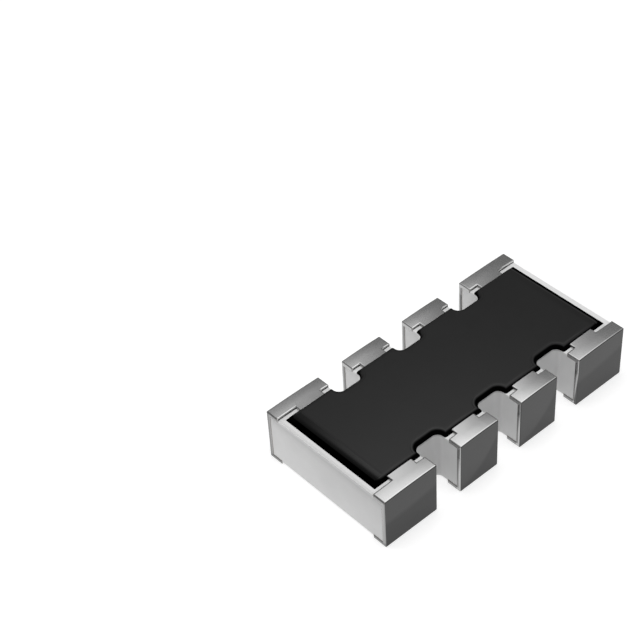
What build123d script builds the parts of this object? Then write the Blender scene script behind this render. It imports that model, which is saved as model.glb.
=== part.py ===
"""Thick-film resistor array: four elements, eight convex solder terminals, one notched ceramic chip.

X runs along the row of terminals, Y across the chip and Z up, in millimetres.
The origin is on the solder plane, under the middle of the chip.
Front is the -Y side and back is the +Y side. Places are counted from the -X end.
"""

import os
from math import sqrt

from build123d import *

# Finished chip, measured over the plated terminals
chip_length = 3.2
chip_width = 1.6
terminal_height = 0.6

# Notches that part the terminals, the same on both sides
element_count = 4
notch_pitch = 0.8
terminal_gap = 0.3
notch_depth = 0.3
notch_corner_radius = 0.07

# Metal on each terminal: fired silver film, then nickel, then tin
electrode_film = 0.019
nickel_plate = 0.003
tin_plate = 0.003
plating_creep = 0.02

# Reach of the finished metal, measured in from the terminal's outer face
band_depth = 0.155
tongue_reach = 0.22
foot_depth = 0.17

# Tongues that run in under the overcoat
inner_tongue_width = 0.3
outer_tongue_width = 0.31
outer_tongue_setback = 0.105
electrode_gap = 0.72

# Resistive film of one element, and its laser trim
resistor_film = 0.01
resistor_width = 0.24
resistor_length = 0.84
trim_kerf = 0.03
trim_plunge = 0.1
trim_run = 0.2
trim_start = -0.14

# Primary glass over each resistive film
glass_film = 0.008
glass_margin = 0.015

# Black overcoat across all the elements
coat_thickness = 0.045
coat_end_margin = 0.067
coat_side_margin = 0.198
coat_edge_radius = 0.0625

# Ceramic left inside the finished outline
plating = nickel_plate + tin_plate
metal = electrode_film + plating
ceramic_length = chip_length - 2 * plating
ceramic_width = chip_width - 2 * metal
ceramic_bottom = metal
ceramic_top = terminal_height - metal
ceramic_face = ceramic_width / 2
film_top = ceramic_top + electrode_film
film_bottom = ceramic_bottom - electrode_film
film_face = ceramic_face + electrode_film

sides = {"front": -1, "back": 1}


def block(x, y, z):
    """Box between two limits on each axis."""
    size = (x[1] - x[0], y[1] - y[0], z[1] - z[0])
    centre = ((x[0] + x[1]) / 2, (y[0] + y[1]) / 2, (z[0] + z[1]) / 2)
    return Pos(*centre) * Box(*size)


def facing(side, piece):
    """Turn a piece drawn for the back row to the row asked for."""
    return piece if side > 0 else mirror(piece, about=Plane.XZ)


def notch_centres():
    """X of each notch."""
    middle = (element_count - 2) / 2
    return [(index - middle) * notch_pitch for index in range(element_count - 1)]


def tooth_limits():
    """X limits of the ceramic tooth under each terminal."""
    half_notch = terminal_gap / 2 + plating
    walls = [-ceramic_length / 2]
    for centre in notch_centres():
        walls += [centre - half_notch, centre + half_notch]
    walls.append(ceramic_length / 2)
    return list(zip(walls[0::2], walls[1::2]))


def tongue_limits():
    """X limits of the finished tongue at each place."""
    first_start = notch_centres()[0] - terminal_gap / 2 - outer_tongue_setback - outer_tongue_width
    last_start = notch_centres()[-1] + terminal_gap / 2 + outer_tongue_setback
    limits = [(first_start, first_start + outer_tongue_width)]
    for tooth in tooth_limits()[1:-1]:
        middle = sum(tooth) / 2
        limits.append((middle - inner_tongue_width / 2, middle + inner_tongue_width / 2))
    limits.append((last_start, last_start + outer_tongue_width))
    return limits


def notch_outlines():
    """Plan of all the notches, with rounded inner corners."""
    mouth = chip_width / 2
    outline = Rectangle(terminal_gap + 2 * plating, 2 * notch_depth)
    inner_corners = outline.vertices().filter_by(lambda vertex: vertex.Y < 0)
    outline = fillet(inner_corners, notch_corner_radius)
    row = Sketch() + [Pos(x, mouth) * outline for x in notch_centres()]
    return row + mirror(row, about=Plane.XZ)


def ceramic_substrate():
    """Pressed and fired alumina plate with its notches."""
    plan = Rectangle(ceramic_length, ceramic_width) - notch_outlines()
    return Pos(0, 0, ceramic_bottom) * extrude(plan, ceramic_top - ceramic_bottom)


def inner_electrode(tooth, tongue):
    """Silver film printed on top: a band along the edge and a tongue in to the element."""
    band_edge = chip_width / 2 - band_depth + plating
    band = block(tooth, (band_edge, ceramic_face), (ceramic_top, film_top))
    tongue_x = (tongue[0] + plating, tongue[1] - plating)
    return band + block(tongue_x, (electrode_gap / 2, band_edge), (ceramic_top, film_top))


def bottom_electrode(tooth):
    """Silver film printed on the underside, where the chip is soldered."""
    foot_edge = chip_width / 2 - foot_depth + plating
    return block(tooth, (foot_edge, ceramic_face), (film_bottom, ceramic_bottom))


def edge_electrode(tooth):
    """Silver film rolled on the outer face, joining the top film to the bottom one."""
    return block(tooth, (ceramic_face, film_face), (film_bottom, film_top))


def plated_envelope(tooth, tongue, growth):
    """All that lies inside a plating which stands `growth` proud of the silver film."""
    x = (tooth[0] - growth, tooth[1] + growth)
    outside = film_face + growth
    top = film_top + growth
    bottom = film_bottom - growth
    short = plating - growth
    band_edge = chip_width / 2 - band_depth + short
    foot_edge = chip_width / 2 - foot_depth + short
    cap = block(x, (band_edge, outside), (ceramic_top - plating_creep, top))
    cap += block(x, (ceramic_face - plating_creep, outside), (bottom, top))
    cap += block(x, (foot_edge, outside), (bottom, ceramic_bottom + plating_creep))
    tongue_x = (tongue[0] + short, tongue[1] - short)
    tongue_y = (chip_width / 2 - tongue_reach, band_edge)
    outer_edges = cap.faces().sort_by(Axis.Y)[-1].edges()
    cap = fillet(outer_edges, growth)
    return cap + block(tongue_x, tongue_y, (ceramic_top, top))


def draped_film(x, width, length, height):
    """Film that lies on the ceramic and steps up over the tips of the two tongues."""
    across = (x - width / 2, x + width / 2)
    step = electrode_gap / 2 - height
    film = block(across, (-length / 2, length / 2), (ceramic_top, ceramic_top + height))
    lap = block(across, (step, length / 2), (ceramic_top, film_top + height))
    return film + lap + mirror(lap, about=Plane.XZ)


def trim_cut(x, width, height):
    """L-shaped laser kerf: in from the film's +X edge, then along it."""
    edge = x + width / 2
    turn = x + resistor_width / 2 - trim_plunge
    z = (ceramic_top, film_top + height)
    plunge = block((turn, edge), (trim_start, trim_start + trim_kerf), z)
    return plunge + block((turn, turn + trim_kerf), (trim_start, trim_start + trim_run), z)


def coat_edge_cutter():
    """Section cut off the coat's square edge to round its shoulder; the wall is X = 0, the top Y = 0."""
    spare = coat_thickness / 2
    drop = min(coat_thickness, coat_edge_radius)
    reach = sqrt(coat_edge_radius**2 - (coat_edge_radius - drop) ** 2)
    corner = Pos(-spare, -drop - spare) * Rectangle(
        reach + spare, drop + 2 * spare, align=(Align.MIN, Align.MIN)
    )
    return corner - Pos(reach, -coat_edge_radius) * Circle(coat_edge_radius)


def notch_rim_cutter(x):
    """The coat's edge section swept round one notch of the back row."""
    half = terminal_gap / 2 + plating
    mouth = chip_width / 2
    end = mouth - notch_depth
    corners = [(x + half, mouth), (x + half, end), (x - half, end), (x - half, mouth)]
    rim = FilletPolyline(*corners, radius=notch_corner_radius)
    section = Plane(origin=(x + half, mouth, 0), x_dir=(1, 0, 0), z_dir=(0, -1, 0)) * coat_edge_cutter()
    return sweep(section, path=rim)


def overcoat_blank():
    """Overcoat before the pieces under it are taken out of it."""
    half_x = chip_length / 2 - coat_end_margin
    half_y = chip_width / 2 - coat_side_margin
    blank = extrude(Rectangle(2 * half_x, 2 * half_y) - notch_outlines(), -coat_thickness)
    back = Plane(origin=(chip_length / 2, half_y, 0), x_dir=(0, -1, 0), z_dir=(-1, 0, 0))
    right = Plane(origin=(half_x, -chip_width / 2, 0), x_dir=(-1, 0, 0), z_dir=(0, 1, 0))
    back_cutter = extrude(back * coat_edge_cutter(), chip_length)
    right_cutter = extrude(right * coat_edge_cutter(), chip_width)
    cutters = [back_cutter, mirror(back_cutter, about=Plane.XZ)]
    cutters += [right_cutter, mirror(right_cutter, about=Plane.YZ)]
    for x in notch_centres():
        rim_cutter = notch_rim_cutter(x)
        cutters += [rim_cutter, mirror(rim_cutter, about=Plane.XZ)]
    return Pos(0, 0, ceramic_top + coat_thickness) * (blank - cutters)


parts = {"ceramic_substrate": ceramic_substrate()}
under_coat = []

for place, (tooth, tongue) in enumerate(zip(tooth_limits(), tongue_limits()), start=1):
    printed = inner_electrode(tooth, tongue)
    rolled = edge_electrode(tooth)
    soldered = bottom_electrode(tooth)
    ceramic_tooth = block(tooth, (0, ceramic_face), (ceramic_bottom, ceramic_top))
    nickel_envelope = plated_envelope(tooth, tongue, nickel_plate)
    tin_envelope = plated_envelope(tooth, tongue, plating)
    layers = {
        "inner_electrode": printed,
        "edge_electrode": rolled,
        "bottom_electrode": soldered,
        "nickel_barrier": nickel_envelope - [ceramic_tooth, printed, rolled, soldered],
        "tin_cap": tin_envelope - [ceramic_tooth, nickel_envelope],
    }
    for row, side in sides.items():
        for layer, piece in layers.items():
            parts[f"{layer}_{row}_{place}"] = facing(side, piece)
        under_coat += [facing(side, printed), facing(side, tin_envelope)]

for place, tongue in enumerate(tongue_limits(), start=1):
    x = sum(tongue) / 2
    silver = [parts[f"inner_electrode_{row}_{place}"] for row in sides]
    film = draped_film(x, resistor_width, resistor_length, resistor_film)
    glass_width = resistor_width + 2 * glass_margin
    glass_height = resistor_film + glass_film
    glass = draped_film(x, glass_width, resistor_length + 2 * glass_margin, glass_height)
    kerf = trim_cut(x, glass_width, glass_height)
    resistor = film - silver - kerf
    glass = glass - silver - film - kerf
    parts[f"resistor_element_{place}"] = resistor
    parts[f"primary_glass_{place}"] = glass
    under_coat += [resistor, glass]

parts["overcoat"] = overcoat_blank() - under_coat

os.makedirs("parts", exist_ok=True)
for node, shape in parts.items():
    export_step(shape, f"parts/{node}.step")
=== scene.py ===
from math import acos, cos, radians, sin, sqrt

import bmesh
import bpy
from mathutils import Matrix, Vector


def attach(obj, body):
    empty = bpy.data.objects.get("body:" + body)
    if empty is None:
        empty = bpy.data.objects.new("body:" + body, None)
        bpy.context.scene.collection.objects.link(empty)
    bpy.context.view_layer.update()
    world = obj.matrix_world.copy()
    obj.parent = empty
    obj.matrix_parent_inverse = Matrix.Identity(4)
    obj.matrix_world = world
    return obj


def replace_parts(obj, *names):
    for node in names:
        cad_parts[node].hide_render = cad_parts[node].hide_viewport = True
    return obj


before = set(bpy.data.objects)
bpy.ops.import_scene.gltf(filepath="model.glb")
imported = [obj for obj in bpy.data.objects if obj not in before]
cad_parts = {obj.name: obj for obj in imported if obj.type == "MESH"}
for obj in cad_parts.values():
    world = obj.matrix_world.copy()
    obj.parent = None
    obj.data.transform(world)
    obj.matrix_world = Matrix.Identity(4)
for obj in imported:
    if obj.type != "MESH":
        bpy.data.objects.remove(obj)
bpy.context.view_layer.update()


# Ceramic substrate: a pressed alumina plate, fired white, with three notches in each long side that
# part the terminals. Its arrises are a little soft and its faces have a fine matt grain.
# All lengths in this file are millimetres, until a piece is finished and scaled to metres.
mm = 0.001
plate_length, plate_width = 3.188, 1.55
plate_base, plate_top = 0.025, 0.575
notch_centres = (0.8, 0.0, -0.8)
notch_half_width, notch_end, notch_corner = 0.156, 0.5, 0.07
notch_corner_steps = 10
arris = 0.008
round_profile, own_material = 0.5, -1
same_length = 1e-5
square_turn = 0.9
flat_enough = 0.9999
patch_low, patch_high = 0.3, 0.7
patch_detail, mottle_detail = 3.0, 2.0


def near(length, target):
    """True where two lengths are the same."""
    return abs(length - target) < same_length


def rounded_corners(bm, corners, reach, steps):
    """Round some corners of a mesh that is one flat face, and give that face back."""
    bmesh.ops.bevel(
        bm, geom=corners, affect="VERTICES", offset=reach, segments=steps,
        profile=round_profile, material=own_material,
    )
    return bm.faces[:][0]


def notched_plan(bm, half_length, half_width, height):
    """A flat face in the plan of the notched plate, with its notch corners rounded."""
    back = [(half_length, half_width)]
    for x in notch_centres:
        right, left = x + notch_half_width, x - notch_half_width
        back += [(right, half_width), (right, notch_end), (left, notch_end), (left, half_width)]
    back.append((-half_length, half_width))
    points = back + [(-x, -y) for x, y in back]
    plan = bm.faces.new([bm.verts.new((x, y, height)) for x, y in points])
    inner_corners = [corner for corner in plan.verts if near(abs(corner.co.y), notch_end)]
    return rounded_corners(bm, inner_corners, notch_corner, notch_corner_steps)


def extruded(bm, faces, x=0.0, y=0.0, z=0.0):
    """Extrude these faces by a vector."""
    made = bmesh.ops.extrude_face_region(bm, geom=faces)["geom"]
    moved = [item for item in made if isinstance(item, bmesh.types.BMVert)]
    bmesh.ops.translate(bm, verts=moved, vec=(x, y, z))


def square_edges(bm):
    """Edges that stand out, where two faces meet at more than about 50 degrees."""
    return [
        edge for edge in bm.edges
        if len(edge.link_faces) == 2 and edge.calc_face_angle_signed(0.0) > square_turn
    ]


def softened(bm, edges, width, segments=3):
    """Round these edges off."""
    bmesh.ops.bevel(
        bm, geom=edges, affect="EDGES", offset=width, offset_type="OFFSET", segments=segments,
        profile=round_profile, material=own_material, clamp_overlap=True,
    )


def piece_from(bm, name, slot, *finishes):
    """Turn a mesh into a finished piece on the part, in metres, with its curved faces smooth."""
    bm.normal_update()
    for face in bm.faces:
        if max(abs(part) for part in face.normal) < flat_enough:
            face.smooth = True
    bmesh.ops.scale(bm, verts=bm.verts, vec=(mm, mm, mm))
    mesh = bpy.data.meshes.new(name)
    bm.to_mesh(mesh)
    bm.free()
    for finish in finishes:
        mesh.materials.append(finish.material)
    piece = bpy.data.objects.new(name, mesh)
    bpy.context.scene.collection.objects.link(piece)
    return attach(piece, "root")


def add_node(tree, kind, *values, **settings):
    """Add a node. Its inputs are set or joined in order, or by name, as its other settings are."""
    made = tree.nodes.new(kind)
    wanted = list(zip(made.inputs, values))
    for name, value in settings.items():
        if hasattr(made, name):
            setattr(made, name, value)
        else:
            wanted.append((made.inputs[name.replace("_", " ")], value))
    for socket, value in wanted:
        if isinstance(value, bpy.types.NodeSocket):
            tree.links.new(value, socket)
        else:
            socket.default_value = value
    return made


def maths(tree, operation, *values):
    """Simple arithmetic on a few values."""
    return add_node(tree, "ShaderNodeMath", *values, operation=operation).outputs["Value"]


def rgba(shade):
    """A grey, or a colour of three parts, as a node wants it."""
    return (*shade, 1.0) if isinstance(shade, tuple) else (shade, shade, shade, 1.0)


class Finish:
    """A Principled surface and the nodes that feed it, all on Object coordinates."""

    def __init__(self, name, shade, roughness, metallic=0.0, specular=0.5):
        self.material = bpy.data.materials.new(name)
        self.material.use_nodes = True
        self.tree = self.material.node_tree
        self.surface = self.tree.nodes["Principled BSDF"]
        self.surface.inputs["Base Color"].default_value = rgba(shade)
        self.surface.inputs["Roughness"].default_value = roughness
        self.surface.inputs["Metallic"].default_value = metallic
        self.surface.inputs["Specular IOR Level"].default_value = specular
        self.place = self.node("ShaderNodeTexCoord").outputs["Object"]

    def node(self, kind, *values, **settings):
        """Add a node to this finish."""
        return add_node(self.tree, kind, *values, **settings)

    def noise(self, size, detail):
        """Cloudy grain whose lumps are about this large."""
        scale = 1.0 / (size * mm)
        grain = self.node("ShaderNodeTexNoise", Vector=self.place, Scale=scale, Detail=detail)
        return grain.outputs["Fac"]

    def axis(self, letter, scale=1.0, offset=0.0):
        """One coordinate of the piece, times scale, plus offset."""
        split = self.node("ShaderNodeSeparateXYZ", Vector=self.place)
        return self.maths("MULTIPLY_ADD", split.outputs[letter], scale / mm, offset)

    def maths(self, operation, *values):
        """Simple arithmetic on a few values."""
        return maths(self.tree, operation, *values)

    def product(self, first, *others):
        """Values multiplied together."""
        for other in others:
            first = self.maths("MULTIPLY", first, other)
        return first

    def highest(self, first, *others):
        """The highest of some values. One that is 1 outside a place keeps a shade to that place."""
        for other in others:
            first = self.maths("MAXIMUM", first, other)
        return first

    def ramp(self, value, *stops):
        """A shade looked up by (value, colour or grey) stops.

        It reads only values from 0 to 1, so a coordinate that goes further is shifted or halved.
        """
        made = self.node("ShaderNodeValToRGB", Fac=value)
        elements = made.color_ramp.elements
        while len(elements) < len(stops):
            elements.new(0.5)
        for element, (position, shade) in zip(elements, stops):
            element.position = position
            element.color = rgba(shade)
        return made.outputs["Color"]

    def patches(self, size, low, high, detail=patch_detail):
        """Cloudy patches of this size that drift between two shades."""
        return self.ramp(self.noise(size, detail), (patch_low, low), (patch_high, high))

    def feed(self, socket, value):
        """Join a value to the surface."""
        self.tree.links.new(value, self.surface.inputs[socket])

    def mottled(self, size, smooth, rough):
        """Let the roughness drift between two levels, in patches of this size."""
        self.feed("Roughness", self.patches(size, smooth, rough, mottle_detail))

    def relief(self, size, depth, strength):
        """Fine bumps of this size and depth."""
        height = self.noise(size, patch_detail)
        bump = self.node("ShaderNodeBump", Height=height, Distance=depth * mm, Strength=strength)
        self.feed("Normal", bump.outputs["Normal"])


alumina = Finish("fired alumina", 0.82, 0.6, specular=0.3)
from_left_end = alumina.axis("X", offset=plate_length / 2)
x_past_one = alumina.axis("X", offset=-1.0)
half_x = alumina.maths("ABSOLUTE", alumina.axis("X", scale=0.5))
plate_z, plate_front = alumina.axis("Z"), alumina.axis("Y", scale=-1.0)

# Painted shade: the left end face is darkest a little below its top edge. The margin above darkens
# to it.
painted_end_shade = alumina.highest(
    alumina.ramp(plate_z, (0.44, 1.0), (0.50, 0.93), (0.53, 0.865), (0.545, 0.89), (0.56, 1.0)),
    alumina.ramp(from_left_end, (0.001, 0.0), (0.005, 1.0)),
)
painted_margin_shade = alumina.highest(
    alumina.ramp(from_left_end, (0.006, 0.87), (0.020, 0.88), (0.033, 1.0)),
    alumina.ramp(plate_z, (0.568, 1.0), (0.573, 0.0)),
)
# Painted shade: the end walls of the front notches are darker, and darkest just under the overcoat.
painted_notch_shade = alumina.highest(
    alumina.product(
        alumina.ramp(plate_front, (0.494, 1.0), (0.498, 0.87), (0.530, 0.87), (0.560, 1.0)),
        alumina.ramp(plate_z, (0.550, 1.0), (0.562, 0.72)),
    ),
    alumina.ramp(half_x, (0.480, 0.0), (0.490, 1.0)),
    alumina.ramp(plate_front, (0.494, 1.0), (0.498, 0.0), (0.560, 0.0), (0.570, 1.0)),
)
# Painted light: the margin at the right end is a little whiter.
painted_right_light = alumina.product(
    alumina.ramp(x_past_one, (0.52, 0.0), (0.53, 0.075)),
    alumina.ramp(plate_z, (0.568, 0.0), (0.573, 1.0)),
)
alumina_tone_and_shade = alumina.product(
    alumina.patches(0.35, 0.80, 0.85, detail=4.0), painted_end_shade, painted_margin_shade, painted_notch_shade
)
alumina.feed("Base Color", alumina.maths("ADD", alumina_tone_and_shade, painted_right_light))
alumina.mottled(0.02, 0.52, 0.66)
alumina.relief(0.009, 0.0012, 0.35)

plate = bmesh.new()
plate_plan = notched_plan(plate, plate_length / 2, plate_width / 2, plate_base)
extruded(plate, [plate_plan], z=plate_top - plate_base)
bmesh.ops.recalc_face_normals(plate, faces=plate.faces)
softened(plate, square_edges(plate), arris)
substrate = piece_from(plate, "alumina_plate", "ceramic", alumina)
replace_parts(substrate, "ceramic_substrate")


# Printed silver: a band and a tongue on top and a foot underneath at each terminal, screened as
# paste and fired. The plating and the overcoat hide it.
rows = ("front", "back")
places = (1, 2, 3, 4)


def dressed(finish, *films):
    """Give the CAD nodes of these films, which stay as they are, their finish."""
    for film in films:
        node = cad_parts[film]
        node.data.materials.clear()
        node.data.materials.append(finish.material)


def at_terminals(film):
    """Names of one film's nodes at all eight terminals."""
    return [f"{film}_{row}_{place}" for row in rows for place in places]


silver = Finish("fired silver film", (0.82, 0.80, 0.76), 0.45, metallic=1.0)
silver.feed("Base Color", silver.patches(0.05, (0.74, 0.72, 0.68), (0.86, 0.84, 0.80)))
silver.mottled(0.015, 0.38, 0.55)
silver.relief(0.006, 0.001, 0.5)
dressed(silver, *at_terminals("inner_electrode"), *at_terminals("bottom_electrode"))


# Resistive elements: one strip of fired oxide paste from tongue to tongue for each element, with an
# L-shaped laser cut that trims its value.
resistive = Finish("fired resistive film", (0.03, 0.028, 0.026), 0.5)
resistive.feed("Base Color", resistive.patches(0.04, (0.018, 0.016, 0.015), (0.045, 0.04, 0.036)))
resistive.mottled(0.02, 0.42, 0.62)
resistive.relief(0.006, 0.001, 0.5)
dressed(resistive, *(f"resistor_element_{place}" for place in places))


# Primary glass: a thin glaze fired over each element before it is trimmed, a little wider than the
# film on every side.
glaze = Finish("primary glass", (0.08, 0.16, 0.12), 0.18)
glaze.feed("Base Color", glaze.patches(0.08, (0.05, 0.11, 0.08), (0.10, 0.19, 0.14)))
glaze.mottled(0.03, 0.12, 0.26)
glaze.relief(0.03, 0.001, 0.3)
dressed(glaze, *(f"primary_glass_{place}" for place in places))


# Overcoat: black protective paste printed over all the elements in one piece and cured. It ends in
# a rounded shoulder all round, follows the notches, and slumps a little towards its two ends.
coat_half_length, coat_half_width = 1.533, 0.602
coat_top = 0.62
shoulder_radius, shoulder_steps = 0.0625, 9
mouth_rounding, mouth_steps = 0.02, 3
slump_length, slump_drop = 0.14, 0.021
slump_cuts = (0.25, 0.5, 0.75, 1.0)
painted_black_end = 0.08
top_skin = 0.0008
cut_slack = 1e-6
ring_weld, coat_weld = 0.004, 0.0001

coat_black = Finish("cured black overcoat", 0.0185, 0.12, specular=0.3)
# Painted shade: the top's colour darkens towards the left end.
painted_dark_end = coat_black.ramp(
    coat_black.axis("X", offset=coat_half_length),
    (0.05, 0.02), (0.08, 0.25), (0.12, 0.45), (0.17, 1.0),
)
coat_black.feed("Base Color", coat_black.product(coat_black.patches(0.4, 0.0178, 0.0192), painted_dark_end))
coat_black.mottled(0.05, 0.10, 0.14)
coat_black.relief(0.03, 0.0004, 0.1)

coat_rim = Finish("overcoat shoulder, painted shade and highlight", 0.003, 0.5, specular=0.0)
rim_y, rim_z = coat_rim.axis("Y"), coat_rim.axis("Z")
# Painted shade and highlight: black at the shoulder's foot, brightest just under the top, most in
# front.
front_ring = coat_rim.ramp(
    rim_z, (0.606, 0.001), (0.611, 0.003), (0.6145, 0.022), (0.617, 0.053), (0.6195, 0.044)
)
back_ring = coat_rim.highest(
    coat_rim.ramp(rim_z, (0.604, 0.002), (0.610, 0.012), (0.614, 0.024), (0.6195, 0.027)),
    coat_rim.product(
        coat_rim.ramp(rim_z, (0.594, 0.002), (0.603, 0.022), (0.6195, 0.027)),
        coat_rim.ramp(rim_y, (0.490, 0.0), (0.505, 1.0), (0.545, 1.0), (0.570, 0.0)),
    ),
)
ring = coat_rim.maths(
    "ADD",
    coat_rim.product(front_ring, coat_rim.ramp(rim_y, (0.43, 1.0), (0.45, 0.0))),
    coat_rim.product(back_ring, coat_rim.ramp(rim_y, (0.43, 0.0), (0.45, 1.0))),
)
# Painted shade dims it towards the right end and blackens both ends, but for one soft painted
# highlight line on the right.
along_coat = coat_rim.axis("X", scale=-1.0 / (2 * coat_half_length), offset=0.5)
painted_dimming = coat_rim.ramp(along_coat, (0.03, 0.029), (0.29, 0.035), (0.49, 0.045), (0.68, 0.054))
coat_right = coat_rim.axis("X", scale=-1.0, offset=coat_half_length)
painted_rim_shade = coat_rim.product(
    coat_rim.maths("MINIMUM", ring, painted_dimming),
    coat_rim.ramp(coat_rim.axis("X", offset=coat_half_length), (0.05, 0.04), (0.11, 1.0)),
    coat_rim.ramp(coat_right, (0.052, 0.05), (0.10, 1.0)),
)
painted_right_highlight = coat_rim.product(
    coat_rim.ramp(
        coat_right, (0.052, 0.0), (0.064, 0.034), (0.072, 0.042), (0.082, 0.028), (0.092, 0.0)
    ),
    coat_rim.ramp(rim_z, (0.606, 0.0), (0.611, 1.0)),
)
coat_rim.feed("Base Color", coat_rim.highest(painted_rim_shade, painted_right_highlight))
coat_rim.relief(0.03, 0.0004, 0.1)


def cut(bm, x=None, y=None, z=None):
    """Cut the whole mesh along a plane across X, Y or Z."""
    everything = bm.verts[:] + bm.edges[:] + bm.faces[:]
    point = Vector((x or 0, y or 0, z or 0))
    normal = Vector((x is not None, y is not None, z is not None))
    bmesh.ops.bisect_plane(bm, geom=everything, dist=cut_slack, plane_co=point, plane_no=normal)


coat = bmesh.new()
coat_plan = notched_plan(coat, coat_half_length, coat_half_width, plate_top)
mouths = [
    corner for corner in coat_plan.verts
    if near(abs(corner.co.y), coat_half_width) and not near(abs(corner.co.x), coat_half_length)
]
coat_plan = rounded_corners(coat, mouths, mouth_rounding, mouth_steps)
bmesh.ops.duplicate(coat, geom=[coat_plan])
coat_height = coat_top - plate_top
shoulder_drop = shoulder_radius - coat_height
shoulder_reach = sqrt(shoulder_radius**2 - shoulder_drop**2)
inward, rise = 0.0, 0.0
for step in range(1, shoulder_steps + 1):
    angle = acos(shoulder_drop / shoulder_radius) * (1 - step / shoulder_steps)
    next_inward = shoulder_reach - shoulder_radius * sin(angle)
    next_rise = shoulder_radius * cos(angle) - shoulder_drop
    bmesh.ops.inset_region(
        coat, faces=[coat_plan], thickness=next_inward - inward,
        use_even_offset=True, use_boundary=True,
    )
    bmesh.ops.translate(coat, verts=coat_plan.verts, vec=(0, 0, next_rise - rise))
    bmesh.ops.remove_doubles(coat, verts=coat_plan.verts, dist=ring_weld)
    inward, rise = next_inward, next_rise
bmesh.ops.remove_doubles(coat, verts=coat.verts, dist=coat_weld)
bmesh.ops.recalc_face_normals(coat, faces=coat.faces)
for share in slump_cuts:
    for end in (-1, 1):
        cut(coat, x=end * (coat_half_length - share * slump_length))
cut(coat, x=coat_half_length - painted_black_end)
# Faces off the top, and the top's last stretch at the right end, take the shoulder's painted shade
# and highlight.
for face in coat.faces:
    x, y, z = face.calc_center_median()
    face.material_index = 0 if z > coat_top - top_skin and x < coat_half_length - painted_black_end else 1
for vert in coat.verts:
    from_end = min((coat_half_length - abs(vert.co.x)) / slump_length, 1.0)
    vert.co.z -= slump_drop * (1 - from_end) ** 2 * (vert.co.z - plate_top) / coat_height
overcoat = piece_from(coat, "black_overcoat", "overcoat", coat_black, coat_rim)
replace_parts(overcoat, "overcoat")


# Rolled silver: the film on each terminal's outer face, put on last of the silver. It joins the
# printed band above to the foot below.
dressed(silver, *at_terminals("edge_electrode"))


# Nickel barrier: plated over all the silver of a terminal, so that solder does not eat into it.
# It creeps a little over the ceramic's side walls.
nickel = Finish("plated nickel", (0.66, 0.62, 0.56), 0.35, metallic=1.0)
nickel.feed("Base Color", nickel.patches(0.06, (0.60, 0.56, 0.50), (0.70, 0.66, 0.60)))
nickel.mottled(0.02, 0.30, 0.42)
nickel.relief(0.005, 0.0006, 0.4)
dressed(nickel, *at_terminals("nickel_barrier"))


# Tin caps: the plated finish of the eight terminals. Each wraps over the outer face from a foot
# below to a band on top, with a lip on both side walls and a tongue that runs in under the coat.
# The plate builds up a little towards the middle of the band, so its top is faintly crowned.
tin_skin = 0.003
cap_round, lip_round, lip_round_steps = 0.010, 0.0045, 2
cap_proud = 0.006
cap_face, cap_top, cap_base = 0.8, 0.6, 0.0
band_edge, foot_edge, tongue_end = 0.645, 0.63, 0.58
lip_face, lip_high, lip_low = 0.755, 0.555, 0.045
teeth = ((-1.594, -0.956), (-0.644, -0.156), (0.156, 0.644), (0.956, 1.594))
tongues = ((-1.365, -1.055), (-0.55, -0.25), (0.25, 0.55), (1.055, 1.365))
terminal_pitch, half_gap = 0.8, 0.15
crown_along, crown_across = 0.0046, 0.0004
crown_rim, tongue_rim = 0.006, 0.004
crown_cuts_along, crown_cut_across = (0.25, 0.5, 0.75), 0.5
hair = 1e-4
hollow_clearance = 0.02
flat_line = radians(1)
face_turn, lip_turn = 0.6, 0.35
lip_lean = 0.08
x_shift, mid_ramp = 2.0, 0.5

tin_top = Finish("bright tin of the bands and feet", 0.75, 0.15, metallic=1.0)
tin_top.feed("Base Color", tin_top.patches(0.06, 0.74, 0.76))
tin_top.mottled(0.03, 0.14, 0.16)
tin_top.relief(0.008, 0.0001, 0.3)

# Painted shade: the lips are the same tin as the bands, painted darker.
tin_lip = Finish("tin of the lips, painted darker as shade", 0.45, 0.15, metallic=1.0)
lip_x, lip_y, lip_z = (tin_lip.axis(letter) for letter in "XYZ")
lip_out = tin_lip.maths("ABSOLUTE", lip_y)
leaning = tin_lip.maths("ADD", lip_out, tin_lip.axis("Z", scale=-lip_lean))
left_end = tin_lip.ramp(tin_lip.axis("X", offset=x_shift), (0.45, 1.0), (0.55, 0.0))
back_row = tin_lip.ramp(lip_y, (0.1, 0.0), (0.2, 1.0))
off_last_wall = tin_lip.ramp(lip_x, (0.90, 1.0), (0.93, 0.0), (0.98, 0.0), (1.0, 1.0))
# Painted shade: a dark line at each lip's top, under the band's side edge.
lip_tone_and_shade = tin_lip.ramp(lip_z, (0.0, 0.46), (0.588, 0.45), (0.594, 0.25), (0.60, 0.22))
# Painted shade: a lip in a notch has a dark line along its inner edge, and one along the foot.
painted_inner_line = tin_lip.highest(
    tin_lip.ramp(lip_out, (0.748, 1.0), (0.756, 0.5), (0.770, 0.42), (0.784, 1.0)),
    tin_lip.ramp(lip_z, (0.040, 1.0), (0.048, 0.0), (0.550, 0.0), (0.556, 1.0)),
    left_end,
)
painted_foot_line = tin_lip.highest(
    tin_lip.ramp(lip_z, (0.033, 1.0), (0.039, 0.45), (0.046, 0.4), (0.050, 1.0)),
    tin_lip.ramp(lip_out, (0.750, 0.0), (0.762, 1.0)),
)
# Painted shade darkens the lips on the left end as a whole, most of all outward and on the back
# one.
painted_end_lip_shade = tin_lip.highest(
    tin_lip.product(
        tin_lip.ramp(
            lip_out, (0.754, 0.72), (0.765, 0.76), (0.778, 0.76), (0.788, 0.65), (0.800, 0.55)
        ),
        tin_lip.ramp(lip_z, (0.572, 1.0), (0.585, 0.65), (0.60, 0.5)),
        tin_lip.ramp(lip_y, (0.758, 1.0), (0.770, 0.65)),
        tin_lip.ramp(lip_z, (0.020, 0.72), (0.036, 0.72), (0.046, 0.80), (0.050, 1.0)),
    ),
    tin_lip.maths("SUBTRACT", 1.0, left_end),
)
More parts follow.
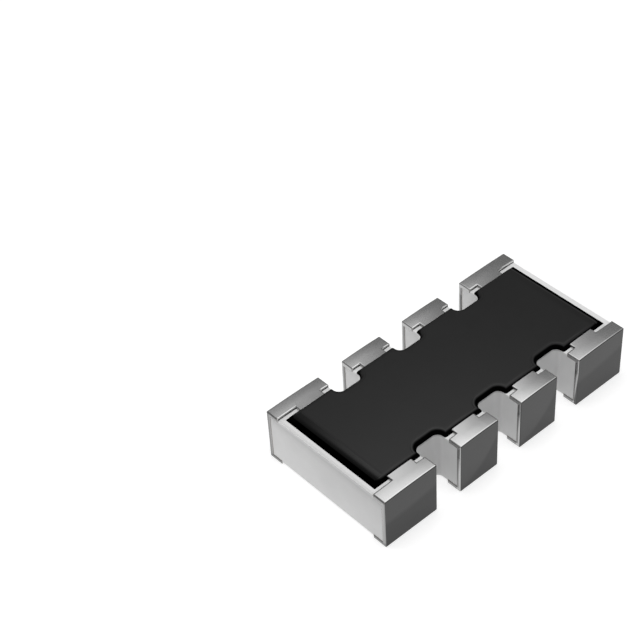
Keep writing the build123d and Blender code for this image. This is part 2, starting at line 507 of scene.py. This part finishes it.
# Painted shade: a leaning dark bow along the last lip in front, a lower dark wedge along the others
# in notches.
painted_bow_shade = tin_lip.highest(
    tin_lip.ramp(leaning, (0.765, 1.0), (0.772, 0.22)), off_last_wall, back_row
)
painted_wedge_shade = tin_lip.highest(
    tin_lip.ramp(leaning, (0.748, 0.6), (0.756, 1.0)),
    left_end,
    tin_lip.product(back_row, off_last_wall),
    tin_lip.ramp(lip_z, (0.41, 0.0), (0.47, 1.0)),
)
tin_lip.feed(
    "Base Color",
    tin_lip.product(lip_tone_and_shade, painted_inner_line, painted_foot_line, painted_end_lip_shade, painted_bow_shade, painted_wedge_shade),
)
tin_lip.mottled(0.03, 0.12, 0.18)
tin_lip.relief(0.012, 0.0002, 0.3)


def painted_outer_face(name, step_height, step_bend):
    """Outer-face tin in painted shade, with a painted reflection: lighter upper left, darker lower
    right.
    """
    finish = Finish(name, 0.05, 0.2, metallic=1.0)
    pitches = finish.axis("X", scale=1 / terminal_pitch, offset=len(places) / 2)
    in_pitch = finish.maths("FRACT", pitches)
    along = finish.maths("MULTIPLY_ADD", in_pitch, terminal_pitch, -half_gap)
    bend = finish.product(along, along, step_bend)
    above = finish.maths("SUBTRACT", finish.axis("Z", offset=mid_ramp - step_height), bend)
    tone = finish.ramp(above, (0.465, 0.042), (0.53, 0.0605))
    finish.feed("Base Color", finish.product(tone, finish.patches(0.06, 0.97, 1.0)))
    finish.mottled(0.03, 0.15, 0.22)
    finish.relief(0.012, 0.0002, 0.3)
    return finish


painted_tin_wall = painted_outer_face("inner terminals' face tin, painted shade and reflection", 0.06, 1.5)
painted_tin_end_wall = painted_outer_face("end terminals' face tin, painted shade and reflection", 0.31, 0.2)


def inside_lips(edge):
    """True for an edge on the side walls or in the hollow, between the band and the foot."""
    return all(
        end.co.y < cap_face - hair and lip_low - hair < end.co.z < lip_high + hair
        for end in edge.verts
    )


def under_coat(edge):
    """True for an edge at the far end of the tongue."""
    return all(near(end.co.y, tongue_end) for end in edge.verts)


def crowned(bm, wall, far_wall, tongue_low, tongue_high):
    """Lift the top into its faint crown, with strips along its edges for the shading to turn in."""
    middle, half_length = (wall + far_wall) / 2, (far_wall - wall) / 2 + cap_proud - cap_round
    centre_line, half_band = (band_edge + cap_face) / 2, (cap_face - band_edge) / 2 - cap_round
    for side in (-1, 1):
        cut(bm, x=middle + side * (half_length - crown_rim))
        cut(bm, y=centre_line + side * (half_band - crown_rim))
        for share in crown_cuts_along:
            cut(bm, x=middle + side * share * half_length)
        cut(bm, y=centre_line + side * crown_cut_across * half_band)
    cut(bm, x=middle)
    cut(bm, y=centre_line)
    cut(bm, x=tongue_low + cap_round + crown_rim)
    cut(bm, x=tongue_high - cap_round - crown_rim)
    cut(bm, y=tongue_end + tongue_rim)
    bm.normal_update()
    for face in bm.faces:
        if face.normal.z > flat_enough and face.calc_center_median().z > cap_top - hair:
            face.smooth = True
    for vert in bm.verts:
        if vert.co.z > cap_top - cap_round - hair:
            along = min(abs(vert.co.x - middle) / half_length, 1.0)
            across = min(abs(vert.co.y - centre_line) / half_band, 1.0)
            vert.co.z += crown_along * (1 - along**2) + crown_across * (1 - across**2)


def tin_cap(row, place):
    """One cap: a C-shaped channel with a tongue, rounded, then opened where the ceramic goes."""
    wall, far_wall = teeth[place - 1]
    tongue_low, tongue_high = tongues[place - 1]
    bm = bmesh.new()
    profile = [
        (band_edge, cap_top), (cap_face, cap_top), (cap_face, cap_base), (foot_edge, cap_base),
        (foot_edge, lip_low), (lip_face, lip_low), (lip_face, lip_high), (band_edge, lip_high),
    ]
    end = bm.faces.new([bm.verts.new((wall - cap_proud, y, z)) for y, z in profile])
    extruded(bm, [end], x=far_wall - wall + 2 * cap_proud)
    cut(bm, x=tongue_low)
    cut(bm, x=tongue_high)
    cut(bm, z=plate_top)
    bmesh.ops.recalc_face_normals(bm, faces=bm.faces)
    riser = []
    for face in bm.faces:
        x, y, z = face.calc_center_median()
        if near(y, band_edge) and z > plate_top and tongue_low < x < tongue_high:
            riser.append(face)
    extruded(bm, riser, y=tongue_end - band_edge)
    bmesh.ops.delete(bm, geom=riser, context="FACES_ONLY")
    bmesh.ops.dissolve_limit(bm, angle_limit=flat_line, verts=bm.verts, edges=bm.edges)
    outside = [edge for edge in square_edges(bm) if not inside_lips(edge) and not under_coat(edge)]
    softened(bm, outside, cap_round)
    inside = [edge for edge in square_edges(bm) if inside_lips(edge)]
    softened(bm, inside, lip_round, lip_round_steps)
    for x in (wall, far_wall):
        cut(bm, x=x)
    for z in (plate_base, plate_top):
        cut(bm, z=z)
    hollow = []
    for face in bm.faces:
        x, y, z = face.calc_center_median()
        between_walls = wall < x < far_wall and y < cap_face - hollow_clearance
        if between_walls and plate_base - hair < z < plate_top + hair:
            hollow.append(face)
    bmesh.ops.delete(bm, geom=hollow, context="FACES")
    crowned(bm, wall, far_wall, tongue_low, tongue_high)
    # The top takes the bright tin. The lips and outer faces take copies painted darker as shade.
    for face in bm.faces:
        x, y, z = (abs(part) for part in face.normal)
        depth = face.calc_center_median().y
        upright = y > max(x, face_turn) and (depth > cap_face - cap_round or near(depth, band_edge))
        face.material_index = 2 if upright else 1 if x > lip_turn else 0
    if row == "front":
        bmesh.ops.scale(bm, verts=bm.verts, vec=(1, -1, 1))
        bmesh.ops.reverse_faces(bm, faces=bm.faces)
    face_finish = painted_tin_end_wall if place in (places[0], places[-1]) else painted_tin_wall
    cap = piece_from(bm, f"plated_cap_{row}_{place}", "tin", tin_top, tin_lip, face_finish)
    plating = cap.modifiers.new("plating", "SOLIDIFY")
    plating.thickness = tin_skin * mm
    plating.offset = -1
    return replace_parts(cap, f"tin_cap_{row}_{place}")


for row in rows:
    for place in places:
        tin_cap(row, place)


# Floor: a plain pale sheet under the part, a hair below the solder plane. Seen directly or mirrored
# it is white. It lights the part with a dim bounce and a glow of its own, which fades outward.
floor_half, floor_gap = 500, 0.002
seen_grey, seen_lift, thrown_grey = 0.6, 0.6, 0.25
near_glow, far_glow = 0.465, 0.08
glow_start, glow_end = 1.8, 3.6


def faded(tree, value, start, end, low=0.0, high=1.0):
    """A soft step from low to high as the value goes from start to end."""
    made = add_node(
        tree, "ShaderNodeMapRange", value, start, end, low, high, interpolation_type="SMOOTHSTEP"
    )
    return made.outputs["Result"]


def seeing_rays(tree):
    """1 where a ray comes from the camera, or from a mirror-like or clear surface."""
    path = add_node(tree, "ShaderNodeLightPath").outputs
    direct = maths(tree, "MAXIMUM", path["Is Camera Ray"], path["Is Glossy Ray"])
    return maths(tree, "MAXIMUM", direct, path["Is Transmission Ray"])


sheet = bmesh.new()
bmesh.ops.create_grid(sheet, x_segments=1, y_segments=1, size=floor_half * mm)
bmesh.ops.translate(sheet, verts=sheet.verts, vec=(0, 0, -floor_gap * mm))
floor_mesh = bpy.data.meshes.new("floor")
sheet.to_mesh(floor_mesh)
sheet.free()
floor = bpy.data.objects.new("floor", floor_mesh)
bpy.context.scene.collection.objects.link(floor)

pale = bpy.data.materials.new("pale floor")
pale.use_nodes = True
tree = pale.node_tree
tree.nodes.clear()
middle = add_node(tree, "ShaderNodeTexCoord").outputs["Object"]
outward = add_node(tree, "ShaderNodeVectorMath", middle, operation="LENGTH").outputs["Value"]
glow = add_node(
    tree, "ShaderNodeEmission",
    Strength=faded(tree, outward, glow_start * mm, glow_end * mm, near_glow, far_glow),
)
bounce = add_node(tree, "ShaderNodeBsdfDiffuse", Color=rgba(thrown_grey))
bounce_and_glow = add_node(tree, "ShaderNodeAddShader", bounce.outputs[0], glow.outputs[0])
pale_face = add_node(tree, "ShaderNodeBsdfDiffuse", Color=rgba(seen_grey))
lift = add_node(tree, "ShaderNodeEmission", Color=rgba(1.0), Strength=seen_lift)
seen = add_node(tree, "ShaderNodeAddShader", pale_face.outputs[0], lift.outputs[0])
mixed = add_node(
    tree, "ShaderNodeMixShader", seeing_rays(tree), bounce_and_glow.outputs[0], seen.outputs[0]
)
add_node(tree, "ShaderNodeOutputMaterial", Surface=mixed.outputs[0])
floor_mesh.materials.append(pale)


# Light: a dim dome, white near the horizon where it is seen or mirrored. A soft box high at the
# back right shows in the bright metal and fades out in the dark screen round it. Two soft lamps
# light the ceramic: a large one overhead, and a small one low at the back left.
dome_low, dome_high, dome_rise = 0.14, 0.62, (0.2, 0.7)
white_low = (0.18, 0.26)
screen_dark, screen_edge = 0.155, (0.707, 0.883)
screen_centre = Vector((0.45, 0.5, 0.72)).normalized()
box_bright = 1.26
box_left, box_right, box_back = (0.30, 0.42), (0.57, 0.92), (0.537, 0.856)
lowest_slope = 0.02
scene = bpy.context.scene
world = bpy.data.worlds.new("studio")
scene.world = world
world.use_nodes = True
tree = world.node_tree
tree.nodes.clear()

direction = add_node(tree, "ShaderNodeTexCoord").outputs["Generated"]
toward = add_node(tree, "ShaderNodeSeparateXYZ", direction).outputs
height = maths(tree, "MAXIMUM", toward["Z"], lowest_slope)
to_right = maths(tree, "DIVIDE", toward["X"], height)
to_back = maths(tree, "DIVIDE", toward["Y"], height)
box = faded(tree, to_right, *box_left)
for slope, limits in ((to_right, box_right), (to_back, box_back)):
    box = maths(tree, "MULTIPLY", box, faded(tree, slope, *limits, 1.0, 0.0))
box = maths(tree, "MULTIPLY_ADD", box, box_bright - screen_dark, screen_dark)
facing_screen = add_node(
    tree, "ShaderNodeVectorMath", direction, screen_centre, operation="DOT_PRODUCT"
)
sky_level = add_node(
    tree, "ShaderNodeMix",
    Factor=faded(tree, facing_screen.outputs["Value"], *screen_edge),
    A=faded(tree, toward["Z"], *dome_rise, dome_low, dome_high),
    B=box,
)
near_horizon = faded(tree, toward["Z"], *white_low, 1.0, 0.0)
white_part = maths(tree, "MULTIPLY", near_horizon, seeing_rays(tree))
seen_sky = add_node(tree, "ShaderNodeMix", Factor=white_part, A=sky_level.outputs["Result"], B=1.0)
sky = add_node(tree, "ShaderNodeBackground", Color=seen_sky.outputs["Result"])
add_node(tree, "ShaderNodeOutputWorld", Surface=sky.outputs[0])


def soft_lamp(name, place, size, energy):
    """A square soft lamp that looks at the part and does not show in the metal."""
    light = bpy.data.lights.new(name, "AREA")
    light.shape = "SQUARE"
    light.size = size * mm
    light.energy = energy
    lamp = bpy.data.objects.new(name, light)
    scene.collection.objects.link(lamp)
    spot = Vector(place)
    aim = spot.to_track_quat("Z", "Y").to_matrix().to_4x4()
    lamp.matrix_world = Matrix.Translation(spot * mm) @ aim
    lamp.visible_glossy = False


soft_lamp("overhead_lamp", place=(0, 0, 36), size=20, energy=0.0046)
soft_lamp("left_lamp", place=(-6, 5.5, 2), size=3, energy=0.000145)


# Camera: a long lens high over the part's front left corner, held almost level, with the part low
# and right in a square picture.
azimuth, elevation, roll = radians(-39.2355), radians(42.3563), radians(-4.0377)
to_side, to_top, distance = -1.2510, 0.9064, 16.2997
film_width, focal_length = 36.0, 94.1155
nearest, farthest = 0.0005, 2.0
swing = Matrix.Rotation(azimuth, 4, "Z")
tip = Matrix.Rotation(radians(90) - elevation, 4, "X")
turn = swing @ tip @ Matrix.Rotation(roll, 4, "Z")
lens = bpy.data.cameras.new("camera")
lens.sensor_fit = "HORIZONTAL"
lens.sensor_width = film_width
lens.lens = focal_length
lens.clip_start, lens.clip_end = nearest, farthest
camera = bpy.data.objects.new("camera", lens)
scene.collection.objects.link(camera)
camera.matrix_world = Matrix.Translation(turn @ Vector((to_side, to_top, distance)) * mm) @ turn
scene.camera = camera
scene.view_settings.view_transform = "Standard"
